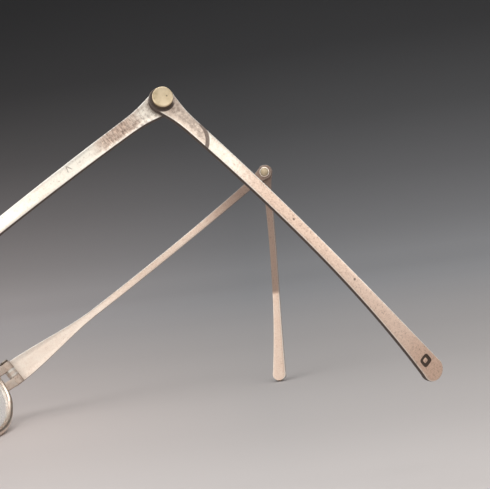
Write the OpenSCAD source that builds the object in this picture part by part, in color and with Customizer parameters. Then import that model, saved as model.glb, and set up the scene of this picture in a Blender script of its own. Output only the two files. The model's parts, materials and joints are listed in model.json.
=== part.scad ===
// Spectacles with double-hinged sides.
// Two oval eyewires and an arched bridge make the front. Each side is a flat strap in two
// lengths: a long bar from the hinge to the elbow, and a short tip bar that laps over it
// on a rivet and turns right round. Both lengths follow one arc, so the sides hug the head.
// The object stands on the bottoms of its eyewires and on the tip of its right side.
// Worn frame, before it is stood up: X to the wearer's left, Y to the back, Z up,
// with the hinge axes along Z at Y = 0.

/* [Front] */
// Distance between the two hinge axes
hinge_span = 110; // [104:0.5:122]
// Outer width of one eyewire
rim_w = 39.2; // [36:0.2:41]
// Outer height of one eyewire
rim_h = 25.2; // [23:0.2:30]
// Radius of the oval's tighter ends, on its outer edge
rim_end_r = 9.3; // [8:0.1:10.5]
// Thickness of the eyewire
wire_d = 1.7; // [1.5:0.05:2.2]
// Depth of the groove that holds the lens
groove_depth = 0.5; // [0.35:0.05:0.6]
// Mouth of the groove
groove_mouth = 0.85; // [0.7:0.05:1]
// Gap from the hinge axis inward to the eyewire's outer edge
rim_inset = 3.2; // [2.8:0.1:4]
// How far the eyewires lie in front of the hinge axes
rim_forward = 2.2; // [1.9:0.1:3]
// Height of the eyewires' middle above the hinges' middle
rim_rise = 1; // [0:0.1:2]
// Width of the saw cut that lets the eyewire open for its lens
split_w = 0.3; // [0.2:0.05:0.6]

/* [Bridge] */
// Inner radius of the arch
arch_r = 8.2; // [7:0.1:9]
// Height of the arch's centre above the eyewires' middle
arch_rise = 3; // [1:0.1:5]
// Inner radius of the feet that curl out to the eyewires
foot_r = 1.4; // [1:0.1:2]
// Thickness of the bridge strip
bridge_t = 1.1; // [0.9:0.05:1.4]
// Depth of the bridge strip, front to back
bridge_d = 1.5; // [1.2:0.05:1.7]

/* [Lens] */
// Thickness of the lens at its edge
lens_edge = 0.9; // [0.7:0.05:1]
// How far each face of the lens swells at its middle
lens_dome = 0.5; // [0.2:0.05:0.8]

/* [Hinge] */
// Radius of the joint blocks and of the side's knuckle
knuckle_r = 1.3; // [1.15:0.05:1.6]
// Height of the knuckle
knuckle_h = 2; // [1.6:0.1:2.6]
// Height of each joint block
block_h = 1.95; // [1.5:0.05:2.4]
// Width of the neck that joins a block to the eyewire
neck_w = 1.4; // [1.1:0.05:1.5]
// Radius of the hinge screw's shank
screw_r = 0.6; // [0.5:0.05:0.75]
// Radius of the hinge screw's head
screw_head_r = 1.1; // [0.95:0.05:1.3]
// Height of the hinge screw's head
screw_head_h = 0.7; // [0.5:0.05:1]
// Width of the driver slot
slot_w = 0.3; // [0.2:0.05:0.4]

/* [Side bar] */
// Distance from the hinge axis to the elbow rivet
bar_len = 80; // [74:0.5:86]
// Radius of the arc that the sides follow round the head
side_r = 116; // [105:1:135]
// Thickness of the side bar
bar_t = 0.95; // [0.8:0.05:1.2]
// Width of the side bar at its waist
bar_waist_w = 1.8; // [1.6:0.05:2.4]
// Width of the side bar just before its elbow
bar_neck_w = 2.25; // [2:0.05:2.8]
// Distance from the elbow rivet to the side bar's waist
bar_waist_at = 34; // [26:0.5:44]
// Radius of the side bar's round elbow end
bar_head_r = 1.8; // [1.6:0.05:2.2]
// Length over which the side bar widens to its hinge
bar_flare = 26; // [14:0.5:34]

/* [Tip bar] */
// Distance from the elbow rivet to the end of the tip
tip_len = 53.4; // [46:0.2:58]
// Thickness of the tip bar
tip_t = 0.9; // [0.75:0.05:1.1]
// Radius of the tip bar's round elbow end
tip_head_r = 1.7; // [1.5:0.05:2.1]
// Width of the tip bar just past its elbow
tip_neck_w = 2.05; // [1.9:0.05:2.6]
// Width of the tip bar at its waist
tip_waist_w = 1.7; // [1.5:0.05:2.2]
// Distance from the elbow rivet to the waist
tip_waist_at = 23; // [16:0.5:28]
// Width of the spade end
tip_end_w = 3.36; // [2.8:0.02:4]
// Side of the square punch mark on the left tip
punch_w = 1.5; // [1.2:0.05:1.6]
// Depth of the punch mark
punch_depth = 0.12; // [0.08:0.01:0.2]
// Distance of the punch mark from the end of the tip
punch_at = 3.6; // [2.8:0.1:4.5]

/* [Elbow rivet] */
// Radius of the rivet's shank
rivet_r = 0.6; // [0.5:0.05:0.7]
// Radius of the rivet's flat head
rivet_head_r = 1.35; // [1.2:0.05:1.5]
// Height of the rivet's head
rivet_head_h = 1; // [0.6:0.05:1.2]
// Radius of the washer under the hammered tail
washer_r = 1.25; // [1.05:0.05:1.4]
// Thickness of that washer
washer_t = 0.3; // [0.2:0.05:0.4]
// Height of the hammered tail
tail_h = 0.4; // [0.3:0.05:0.6]

/* [Fits] */
// Radial clearance of a bar on its pin
run_gap = 0.05; // [0.02:0.01:0.08]
// Radial clearance of a pin in what holds it
seat_gap = 0.01; // [0.01:0.005:0.02]
// Gap between two faces that slide on each other
slide_gap = 0.05; // [0.03:0.01:0.08]
// Gap between the lens and its groove
lens_gap = 0.06; // [0.03:0.01:0.1]

/* [Pose] */
// Inward swing of the left side from straight back
fold_left = 2; // [-15:1:30]
// Inward swing of the right side from straight back
fold_right = -15; // [-18:1:10]
// Angle between the two lengths of the left side
elbow_left = 100; // [70:1:150]
// Angle between the two lengths of the right side
elbow_right = 56; // [40:1:80]

/* [Hidden] */
$fn = 96;
left = 1;
right = -1;

silver = [0.78, 0.74, 0.70];
worn_silver = [0.70, 0.64, 0.60];
brassy = [0.80, 0.74, 0.60];
glassy = [0.80, 0.86, 0.88, 0.5];

// The oval's outline is four arcs: two tight ends and two long flanks.
rim_a = rim_w / 2;
rim_b = rim_h / 2;
wire_r = wire_d / 2;
end_c = rim_a - rim_end_r;
flank_r = (end_c * end_c + rim_b * rim_b - rim_end_r * rim_end_r) / (2 * (rim_b - rim_end_r));
flank_c = flank_r - rim_b;
end_angle = atan2(flank_c, end_c);
rim_x = hinge_span / 2 - rim_inset - rim_a;

// Heights of the hinge's faces, from the hinge's middle
block_z = knuckle_h / 2 + slide_gap;
joint_z = block_z + block_h;

// The side's arc, in the elbow's frame: X out of the bar, Y back along it, Z up.
// The hinge axis stands inside the arc, so the knuckle's back is flush with the bar.
axis_r = side_r - (knuckle_r - bar_t / 2);
bar_turn = acos((side_r * side_r + axis_r * axis_r - bar_len * bar_len) / (2 * side_r * axis_r));
axis_x = axis_r * cos(bar_turn) - side_r;
axis_y = -axis_r * sin(bar_turn);
chord_lean = atan2(-axis_x, -axis_y);
bar_arc = side_r * bar_turn * PI / 180;

// Levels through the elbow along the rivet, from the middle of the side bar
bar_out = bar_t / 2;
tip_in = bar_out + slide_gap;
tip_out = tip_in + tip_t;
head_in = tip_out + slide_gap;
head_out = head_in + rivet_head_h;
washer_out = -bar_out - seat_gap;
washer_in = washer_out - washer_t;
tip_mid_r = side_r + (tip_in + tip_out) / 2;
tip_turn = tip_len / tip_mid_r * 180 / PI;

// Places on the stood-up object, worked out from the sides' arcs
function fold(side) = side > 0 ? fold_left : fold_right;
function elbow(side) = side > 0 ? elbow_left : elbow_right;
function spin(side) = fold(side) + chord_lean;
function turn_z(p, a) = [p.x * cos(a) - p.y * sin(a), p.x * sin(a) + p.y * cos(a), p.z];
function turn_x(p, a) = [p.x, p.y * cos(a) - p.z * sin(a), p.y * sin(a) + p.z * cos(a)];
function on_side(p, side) =
    let (q = turn_z(p - [axis_x, axis_y, 0], spin(side)))
    [side * (q.x + hinge_span / 2), q.y, q.z];
function tip_point(r, a) = [r * cos(a) - side_r, r * sin(a), 0];
function on_tip(p, side) = on_side(turn_x(p, elbow(side) - 180), side);

// It leans until the eyewires' lower edges and the right tip's end touch the ground.
foot_wire = [0, -rim_forward, rim_rise - rim_b + wire_r];
end_turn = (tip_len - tip_end_w / 2) / tip_mid_r * 180 / PI;
foot_tip = on_tip(tip_point(tip_mid_r, end_turn), right);
foot_way = on_tip(tip_point(tip_mid_r + 1, end_turn), right) - foot_tip;
foot_span = norm([foot_tip.y - foot_wire.y, foot_tip.z - foot_wire.z]);
function tip_sole(a) =
    let (n = turn_x(foot_way, a).z)
    tip_end_w / 2 * sqrt(1 - n * n) + tip_t / 2 * abs(n);
function lean_on(sole) =
    atan2(foot_wire.z - foot_tip.z, foot_tip.y - foot_wire.y)
    + asin((sole - wire_r) / foot_span);
lean = lean_on(tip_sole(lean_on(tip_end_w / 2)));
stand_z = wire_r - turn_x(foot_wire, lean).z;

// Its widest and deepest points set the middle of its footprint.
arc_steps = [for (k = [0:1:40]) k / 40];
function bar_places(side) = [
    for (k = arc_steps)
        on_side(tip_point(side_r + bar_out, -k * bar_turn), side)
];
rivet_place = [for (side = [left, right]) on_side([head_out, 0, 0], side)];
wide_left = max([for (p = bar_places(left)) p.x]);
wide_right = min([for (p = bar_places(right)) p.x]);
most_x = max(wide_left, rivet_place[0].x);
least_x = min(wide_right, rivet_place[1].x);
mid_x = (most_x + least_x) / 2;
left_end = turn_x(on_tip(tip_point(tip_mid_r, end_turn), left), lean);
rim_top = turn_x([0, -rim_forward, rim_rise + rim_b - wire_r], lean);
most_y = left_end.y + tip_end_w / 2;
least_y = rim_top.y - wire_r;
mid_y = (most_y + least_y) / 2;

// Widths of the two bars, by distance from the elbow rivet
steps = 26;
function head_swell(s, head_r, neck) =
    max(0, 1.86 * head_r - neck) * exp(-pow(s / (1.4 * head_r), 2));
function smooth(u) = let (v = max(0, min(1, u))) v * v * (3 - 2 * v);
function bar_w(s) =
    let (u = max(0, 1 - s / bar_waist_at))
    bar_waist_w + (bar_neck_w - bar_waist_w) * u * u
        + head_swell(s, bar_head_r, bar_neck_w)
        + (2 * joint_z - bar_waist_w) * smooth((s - bar_arc + bar_flare) / bar_flare);
tip_flare_end = tip_len - tip_end_w / 2;
function tip_w(s) =
    let (u = max(0, 1 - s / tip_waist_at),
        v = max(0, (s - tip_waist_at) / (tip_flare_end - tip_waist_at)))
    tip_waist_w + (tip_neck_w - tip_waist_w) * u * u
        + head_swell(s, tip_head_r, tip_neck_w)
        + (0.98 * tip_end_w - tip_waist_w) * pow(v, 2.3);

// Points of the oval, moved out from its outer edge by off, from one angle on the outer
// end right round to another on the same end
function arc_points(c, r, from, to, n) =
    [for (i = [0:1:n]) let (a = from + (to - from) * i / n) c + r * [cos(a), sin(a)]];
function oval_points(off, from, to) = concat(
    arc_points([end_c, 0], rim_end_r + off, from, end_angle, 8),
    arc_points([0, -flank_c], flank_r + off, end_angle + 4, 176 - end_angle, 13),
    arc_points([-end_c, 0], rim_end_r + off, 180 - end_angle, 180 + end_angle, 16),
    arc_points([0, flank_c], flank_r + off, 184 + end_angle, 356 - end_angle, 13),
    arc_points([end_c, 0], rim_end_r + off, -end_angle, to, 8)
);

// The eyewire's section, measured from the wire's middle: round, with the groove inside
lip_angle = 180 - asin(groove_mouth / wire_d);
wire_turns = 16;
grooved_wire = concat([[groove_depth - wire_r, 0]],
    [for (i = [0:1:wire_turns])
        let (a = lip_angle * (1 - 2 * i / wire_turns)) wire_r * [cos(a), sin(a)]]);

// The saw cut is level with the middle of the hinge, on the outer end
split_angle = asin(-rim_rise / (rim_end_r - wire_r));
split_half = asin(split_w / 2 / (rim_end_r - wire_r));

// Turns what is drawn on XY so that it stands on XZ and is extruded towards -Y
module upright() { rotate([90, 0, 0]) children(); }

// The outer edge's tight end as plain wire, to cut away what is soldered to it there
module end_wire(end) {
    translate([end * end_c, 0]) rotate_extrude() translate([rim_end_r - wire_r, 0])
        circle(r = wire_r, $fn = 48);
}

// Puts one eye's pieces in their place in the front
module at_eye(side) {
    translate([side * rim_x, -rim_forward, rim_rise]) upright() children();
}

// Puts one hinge's pieces on its axis, with X pointing out
module at_hinge(side) {
    mirror([side > 0 ? 0 : 1, 0, 0]) translate([hinge_span / 2, 0, 0]) children();
}

// Puts one side's pieces in the elbow's frame
module at_elbow(side) {
    at_hinge(side) rotate(spin(side)) translate([-axis_x, -axis_y, 0]) children();
}

// Stands the worn frame on the ground, over the middle of its footprint
module stand() { translate([-mid_x, -mid_y, stand_z]) rotate([lean, 0, 0]) children(); }

// Front
// A wire bent round the oval from one side of the saw cut to the other
module eyewire() {
    rings = [for (p = grooved_wire)
        oval_points(p.x - wire_r, split_angle + split_half, split_angle - split_half)];
    n = len(grooved_wire);
    m = len(rings[0]);
    polyhedron(
        points = [for (i = [0:1:m - 1], j = [0:1:n - 1])
            [rings[j][i].x, rings[j][i].y, grooved_wire[j].y]],
        faces = concat(
            [[for (j = [0:1:n - 1]) j]],
            [for (i = [0:1:m - 2], j = [0:1:n - 1]) let (k = (j + 1) % n)
                [i * n + k, i * n + j, i * n + n + j, i * n + n + k]],
            [[for (j = [n - 1:-1:0]) (m - 1) * n + j]]
        ),
        convexity = 6
    );
}

module rim(side) {
    color(silver) stand() at_eye(side) mirror([side > 0 ? 0 : 1, 0, 0]) eyewire();
}

module lens(side) {
    seat = groove_depth - wire_d - lens_gap;
    bevel = lens_edge / 2;
    color(glassy) stand() at_eye(side) hull() {
        linear_extrude(0.02, center = true) polygon(oval_points(seat, 0, 0));
        for (face = [left, right])
            for (layer = [[1, 0], [0.82, 0.33], [0.6, 0.64], [0.3, 0.91]])
                translate([0, 0, face * (bevel + lens_dome * layer[1])])
                    linear_extrude(0.02, center = true)
                        polygon(layer[0] * oval_points(seat - bevel, 0, 0));
    }
}

// The arch, and the two feet that curl out from its ends to the eyewires
module bridge() {
    strip_r = arch_r + bridge_t;
    reach = rim_x - rim_a + wire_r - strip_r - foot_r;
    color(silver) stand() difference() {
        translate([0, -rim_forward, rim_rise + arch_rise]) upright() {
            rotate_extrude(angle = 180) translate([arch_r, -bridge_d / 2])
                square([bridge_t, bridge_d]);
            for (foot = [0, 1]) mirror([foot, 0, 0]) {
                translate([strip_r + foot_r, 0]) rotate(180)
                    rotate_extrude(angle = 90) translate([foot_r, -bridge_d / 2])
                        square([bridge_t, bridge_d]);
                translate([strip_r + foot_r, -foot_r - bridge_t, -bridge_d / 2])
                    cube([reach, bridge_t, bridge_d]);
            }
        }
        for (side = [left, right]) at_eye(side) end_wire(-side);
    }
}

// Hinge
module block(side, level) {
    wire_at = [-rim_inset - wire_r, -rim_forward];
    bore_r = screw_r + seat_gap;
    color(silver) stand() difference() {
        at_hinge(side) mirror([0, 0, level > 0 ? 0 : 1]) translate([0, 0, block_z]) {
            cylinder(r = knuckle_r, h = block_h);
            rotate(atan2(wire_at.y, wire_at.x)) translate([0, -neck_w / 2, 0])
                cube([norm(wire_at) + wire_r / 2, neck_w, block_h]);
        }
        at_hinge(side) cylinder(r = bore_r, h = 3 * joint_z, center = true);
        at_eye(side) end_wire(side);
    }
}

module hinge_screw(side) {
    color(brassy) stand() at_hinge(side) difference() {
        union() {
            translate([0, 0, -joint_z]) cylinder(r = screw_r, h = 2 * joint_z);
            translate([0, 0, joint_z]) cylinder(r = screw_head_r, h = screw_head_h);
        }
        translate([-screw_head_r, -slot_w / 2, joint_z + screw_head_h / 2])
            cube([2 * screw_head_r, slot_w, screw_head_h]);
    }
}

// A length of the side: an outline drawn flat, bent to the arc between two radii
module bent(in_r, out_r, reach) {
    intersection() {
        translate([-side_r, 0, -joint_z * 2]) rotate(180) difference() {
            cylinder(r = out_r, h = joint_z * 4, $fn = 360);
            translate([0, 0, -1]) cylinder(r = in_r, h = joint_z * 4 + 2, $fn = 360);
        }
        translate([-reach, 0, 0]) rotate([90, 0, 90]) linear_extrude(2 * reach) children();
    }
}

// Half-widths either side of a centre line that runs along X
module strap_outline(places, widths) {
    n = len(places) - 1;
    polygon(concat(
        [for (i = [0:1:n]) [places[i], widths[i] / 2]],
        [for (i = [n:-1:0]) [places[i], -widths[i] / 2]]
    ));
}

module side_bar(side) {
    shoulder_r = knuckle_r + 4 * slide_gap;
    ways = [for (i = [0:1:steps]) bar_arc * i / steps];
    turns = [for (s = ways) s / side_r * 180 / PI];
    color(worn_silver) stand() at_elbow(side) difference() {
        union() {
            bent(side_r - bar_out, side_r + bar_out, side_r / 2) {
                strap_outline([for (a = turns) -(side_r + bar_out) * sin(a)],
                    [for (s = ways) bar_w(s)]);
                circle(r = bar_head_r);
            }
            translate([axis_x, axis_y, -knuckle_h / 2])
                cylinder(r = knuckle_r, h = knuckle_h);
        }
        for (level = [0, 1]) mirror([0, 0, level])
            translate([axis_x, axis_y, knuckle_h / 2]) cylinder(r = shoulder_r, h = joint_z);
        translate([axis_x, axis_y, 0])
            cylinder(r = screw_r + run_gap, h = 3 * joint_z, center = true);
        rotate([0, 90, 0]) cylinder(r = rivet_r + seat_gap, h = 8 * bar_t, center = true);
    }
}

module tip_bar(side) {
    ways = [for (i = [0:1:steps]) tip_flare_end * i / steps];
    turns = [for (s = ways) s / tip_mid_r * 180 / PI];
    end_y = tip_mid_r * sin(end_turn);
    punch_turn = (tip_len - punch_at) / tip_mid_r * 180 / PI;
    punch_floor = side_r + tip_out - punch_depth;
    color(worn_silver) stand() at_elbow(side) rotate([elbow(side) - 180, 0, 0])
        difference() {
            union() {
                bent(side_r + tip_in, side_r + tip_out, side_r / 4)
                    strap_outline([for (a = turns) tip_mid_r * sin(a)],
                        [for (s = ways) tip_w(s)]);
                for (round_end = [[0, tip_head_r], [end_y, tip_end_w / 2]])
                    bent(side_r + tip_in, side_r + tip_out, side_r / 4)
                        translate([round_end[0], 0]) circle(r = round_end[1]);
            }
            rotate([0, 90, 0])
                cylinder(r = rivet_r + run_gap, h = 8 * tip_out, center = true);
            if (side == left)
                translate([-side_r, 0, 0]) rotate(punch_turn) translate([punch_floor, 0, 0])
                    rotate([0, 90, 0]) difference() {
                        translate([0, 0, tip_t / 2])
                            cube([punch_w, punch_w, tip_t], center = true);
                        cylinder(r = punch_w / 5, h = punch_depth * 2 / 3);
                    }
        }
}

// Elbow rivet: its shank sits tight in the side bar, and the tip bar turns on it
module elbow_rivet(side) {
    edge = rivet_head_h / 8;
    color(brassy) stand() at_elbow(side) rotate([0, 90, 0]) rotate_extrude()
        polygon([
            [0, washer_in - tail_h], [rivet_r, washer_in - tail_h],
            [washer_r - edge, washer_in - tail_h / 2], [washer_r - edge, washer_in],
            [rivet_r, washer_in], [rivet_r, head_in],
            [rivet_head_r, head_in], [rivet_head_r, head_out - edge],
            [rivet_head_r - edge, head_out], [0, head_out]
        ]);
}

module washer(side) {
    color(silver) stand() at_elbow(side) rotate([0, 90, 0]) translate([0, 0, washer_in])
        difference() {
            cylinder(r = washer_r, h = washer_t);
            translate([0, 0, -washer_t])
                cylinder(r = rivet_r + seat_gap, h = 3 * washer_t);
        }
}

rim(left);  // left_rim
rim(right);  // right_rim
lens(left);  // left_lens
lens(right);  // right_lens
bridge();
block(left, 1);  // left_upper_block
block(left, -1);  // left_lower_block
block(right, 1);  // right_upper_block
block(right, -1);  // right_lower_block
hinge_screw(left);  // left_hinge_screw
hinge_screw(right);  // right_hinge_screw
side_bar(left);  // left_side_bar
side_bar(right);  // right_side_bar
elbow_rivet(left);  // left_elbow_rivet
elbow_rivet(right);  // right_elbow_rivet
washer(left);  // left_washer
washer(right);  // right_washer
tip_bar(left);  // left_tip_bar
tip_bar(right);  // right_tip_bar
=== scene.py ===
import json
import math

import bmesh
import bpy
import numpy as np
from mathutils import Matrix, Vector


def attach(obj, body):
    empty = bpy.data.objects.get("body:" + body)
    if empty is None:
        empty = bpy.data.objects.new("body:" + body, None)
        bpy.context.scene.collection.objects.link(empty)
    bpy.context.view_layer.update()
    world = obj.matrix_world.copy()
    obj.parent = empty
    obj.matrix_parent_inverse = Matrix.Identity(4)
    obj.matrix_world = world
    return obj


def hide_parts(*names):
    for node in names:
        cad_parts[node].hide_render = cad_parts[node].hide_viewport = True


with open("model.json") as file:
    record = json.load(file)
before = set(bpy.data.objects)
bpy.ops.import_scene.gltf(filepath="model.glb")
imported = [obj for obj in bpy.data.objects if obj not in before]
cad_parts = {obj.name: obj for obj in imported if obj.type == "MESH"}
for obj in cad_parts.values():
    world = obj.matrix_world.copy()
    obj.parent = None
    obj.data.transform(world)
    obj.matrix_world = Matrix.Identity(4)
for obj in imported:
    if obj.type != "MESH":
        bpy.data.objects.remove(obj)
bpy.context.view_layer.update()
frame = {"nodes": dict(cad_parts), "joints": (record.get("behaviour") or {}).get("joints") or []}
mm = 0.001
joints = {joint["name"]: joint for joint in frame["joints"]}
print("frame loaded:", len(frame["nodes"]), "solids")

sides = {
    "left": {"sign": 1, "elbow": 100},  # angle between the two lengths, as stored
    "right": {"sign": -1, "elbow": 56},
}
# All sizes of pieces are in millimetres
straps = {
    "bendRadius": 116,  # the arc that both lengths follow
    "barLength": 80,
    "barThickness": 0.95,
    "tipLength": 53.4,
    "tipThickness": 0.9,
    "slide": 0.05,  # gap between faces that slide
    "knuckleRadius": 1.3,
    "knuckleHeight": 2.0,
    "shoulderRadius": 1.5,
    "edgeRound": 0.17,
    "cornerShare": 0.293,  # how far in the middle of a rounded corner lies, by its radius
    "headSwell": 1.86,  # width at the pivot, by the head's radius
    "swellReach": 1.4,  # how far along that swelling goes, by the head's radius
    "spadePower": 2.3,
    "grid": {"Vertices_X": 260, "Vertices_Y": 7, "Vertices_Z": 4},
    "merge": 0.0004,
}
punch = {
    "at": 3.6,  # from the tip's end
    "size": 1.5,
    "depth": 0.12,
    "clear": 0.8,  # how far its walls are kept free of edge colours, by its size
    # share of its half size, share of its depth: a raised dot, the bottom, then up and out
    "rings": ((0.25, 0.4), (0.42, 1.0), (0.85, 1.0), (1.0, 0.75), (1.06, -4)),
    "corners": 48,
}
headLevel = straps["barThickness"] / 2 + 2 * straps["slide"] + straps["tipThickness"]
roundSteps = 96  # sections of turned pieces and bores
mergeGap, tinyEdge = 2e-7, 1e-7  # in metres, when a piece is cleaned


# x, y and z axes and an origin, as one matrix from millimetres to metres
def columns(x, y, z, at):
    turn = Matrix((x, y, z)).transposed().to_4x4()
    return Matrix.Translation(at) @ turn @ Matrix.Scale(mm, 4)


# X out, Y to the hinge's back and Z up at one side's joint
def jointPlace(name, joint, outwards):
    sign = sides[name]["sign"]
    up = Vector(joints[name + "_side_hinge"]["axis"]) * sign
    return columns(outwards, up.cross(outwards) * sign, up, joints[name + joint]["pos_m"])


def elbowPlace(name):
    return jointPlace(name, "_elbow", Vector(joints[name + "_elbow"]["axis"]) * sides[name]["sign"])


def tipPlace(name):
    straight = math.radians(sides[name]["elbow"] - 180)
    return elbowPlace(name) @ Matrix.Rotation(straight, 4, "X")


def hingePlace(name):
    return jointPlace(name, "_side_hinge", Vector((sides[name]["sign"], 0, 0)))


def linked(name, data):
    thing = bpy.data.objects.new(name, data)
    bpy.context.scene.collection.objects.link(thing)
    return thing


def meshFrom(work, name):
    mesh = bpy.data.meshes.new(name)
    work.to_mesh(mesh)
    work.free()
    return mesh


# The plain mesh that an object's modifiers make; the object goes
def evaluated(holder):
    ready = bpy.context.evaluated_depsgraph_get()
    mesh = bpy.data.meshes.new_from_object(holder.evaluated_get(ready))
    holder.modifiers.clear()
    bpy.data.objects.remove(holder)
    return mesh


def paintAll(mesh, material):
    mesh.materials.clear()
    mesh.materials.append(material)
    mesh.polygons.foreach_set("material_index", [0] * len(mesh.polygons))


# Moves a mesh made in millimetres to its place, turns it outwards and hands it over
def finish(mesh, place, name, body, nodes, smoothAngle=40):
    mesh.transform(place)
    work = bmesh.new()
    work.from_mesh(mesh)
    bmesh.ops.remove_doubles(work, verts=work.verts, dist=mergeGap)
    bmesh.ops.dissolve_degenerate(work, edges=work.edges, dist=tinyEdge)
    bmesh.ops.recalc_face_normals(work, faces=work.faces)
    for edge in work.edges:
        if len(edge.link_faces) == 2:
            edge.smooth = edge.calc_face_angle(0) < math.radians(smoothAngle)
    for face in work.faces:
        face.smooth = True
    work.to_mesh(mesh)
    work.free()
    mesh.name = name
    piece = linked(name, mesh)
    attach(piece, body)
    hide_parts(*nodes)


# A socket that can be added, multiplied and so on, in a shader or a geometry tree
class Field:

    def __init__(self, tree, socket):
        self.tree = tree
        self.socket = socket

    def math(self, operation, *values):
        node = self.tree.nodes.new("ShaderNodeMath")
        node.operation = operation
        for slot, value in zip(node.inputs, (self,) + values):
            plug(self.tree, slot, value)
        return Field(self.tree, node.outputs[0])

    def __add__(self, other): return self.math("ADD", other)
    def __radd__(self, other): return self.math("ADD", other)
    def __sub__(self, other): return self.math("SUBTRACT", other)
    def __rsub__(self, other): return (-self) + other
    def __mul__(self, other): return self.math("MULTIPLY", other)
    def __rmul__(self, other): return self.math("MULTIPLY", other)
    def __truediv__(self, other): return self.math("DIVIDE", other)
    def __rtruediv__(self, other): return (self ** -1) * other
    def __pow__(self, other): return self.math("POWER", other)
    def __neg__(self): return self.math("MULTIPLY", -1)
    def __abs__(self): return self.math("ABSOLUTE")
    def __gt__(self, other): return self.math("GREATER_THAN", other)
    def __lt__(self, other): return self.math("LESS_THAN", other)
    def least(self, other): return self.math("MINIMUM", other)
    def most(self, other): return self.math("MAXIMUM", other)
    def clamped(self): return self.most(0).least(1)
    def root(self): return self.most(0).math("SQRT")
    def sign(self): return self.math("SIGN")
    def sine(self): return self.math("SINE")
    def cosine(self): return self.math("COSINE")
    def exp(self): return self.math("EXPONENT")

    # 0 at 0, 1 at 1, level at both
    def smooth(self):
        return self * self * (3 - 2 * self)

    # 0 below low, 1 above high, smooth between, also where low is the larger
    def ease(self, low, high):
        return ((self - low) / (high - low)).clamped().smooth()

    # 1 from full to last, smoothly down to 0 at low and at gone
    def band(self, low, full, last, gone):
        return self.ease(low, full) * self.ease(gone, last)


def distance(x, y):
    return (x ** 2 + y ** 2).root()


def plug(tree, slot, value):
    if isinstance(value, Field):
        tree.links.new(value.socket, slot)
    elif value is not None:
        slot.default_value = value


def setStops(elements, stops):
    while len(elements) > 1:
        elements.remove(elements[-1])
    for k, (at, tone) in enumerate(stops):
        stop = elements[0] if k == 0 else elements.new(at)
        stop.position = at
        stop.color = (tone, tone, tone, 1)


# One node of any type, its settings first. An input is named by its label with _ for spaces, or
# by its number, as i0
def add(tree, kind, settings=None, **values):
    node = tree.nodes.new(kind)
    for key, value in (settings or {}).items():
        if key == "stops":
            setStops(node.color_ramp.elements, value)
        else:
            setattr(node, key, value)
    for key, value in values.items():
        which = int(key[1:]) if key[1:].isdigit() else key.replace("_", " ")
        plug(tree, node.inputs[which], value)
    return node


def out(tree, node, which=0):
    return Field(tree, node.outputs[which])


# A geometry tree with named inputs by type, and a function that reads one of them
def newTree(name, **labels):
    tree = bpy.data.node_groups.new(name, "GeometryNodeTree")
    for kind, names in labels.items():
        for label in names:
            tree.interface.new_socket(label, in_out="INPUT", socket_type="NodeSocket" + kind)
    tree.interface.new_socket("Geometry", in_out="OUTPUT", socket_type="NodeSocketGeometry")
    given = add(tree, "NodeGroupInput")
    return tree, lambda label: out(tree, given, label)


def endTree(tree, geometry, metal):
    real = add(tree, "GeometryNodeRealizeInstances", Geometry=out(tree, geometry))
    painted = add(tree, "GeometryNodeSetMaterial", Geometry=out(tree, real), Material=metal)
    add(tree, "NodeGroupOutput", Geometry=out(tree, painted))


# The mesh that a geometry tree makes with these values
def grown(tree, values, source=None):
    holder = linked("holder", source or bpy.data.meshes.new("holder"))
    modifier = holder.modifiers.new("tree", "NODES")
    modifier.node_group = tree
    for item in tree.interface.items_tree:
        if item.in_out == "INPUT" and item.name in values:
            value = values[item.name]
            modifier[item.identifier] = float(value) if isinstance(value, int) else value
    mesh = evaluated(holder)
    work = bmesh.new()
    work.from_mesh(mesh)
    bmesh.ops.recalc_face_normals(work, faces=work.faces)
    work.to_mesh(mesh)
    work.free()
    return mesh


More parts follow.
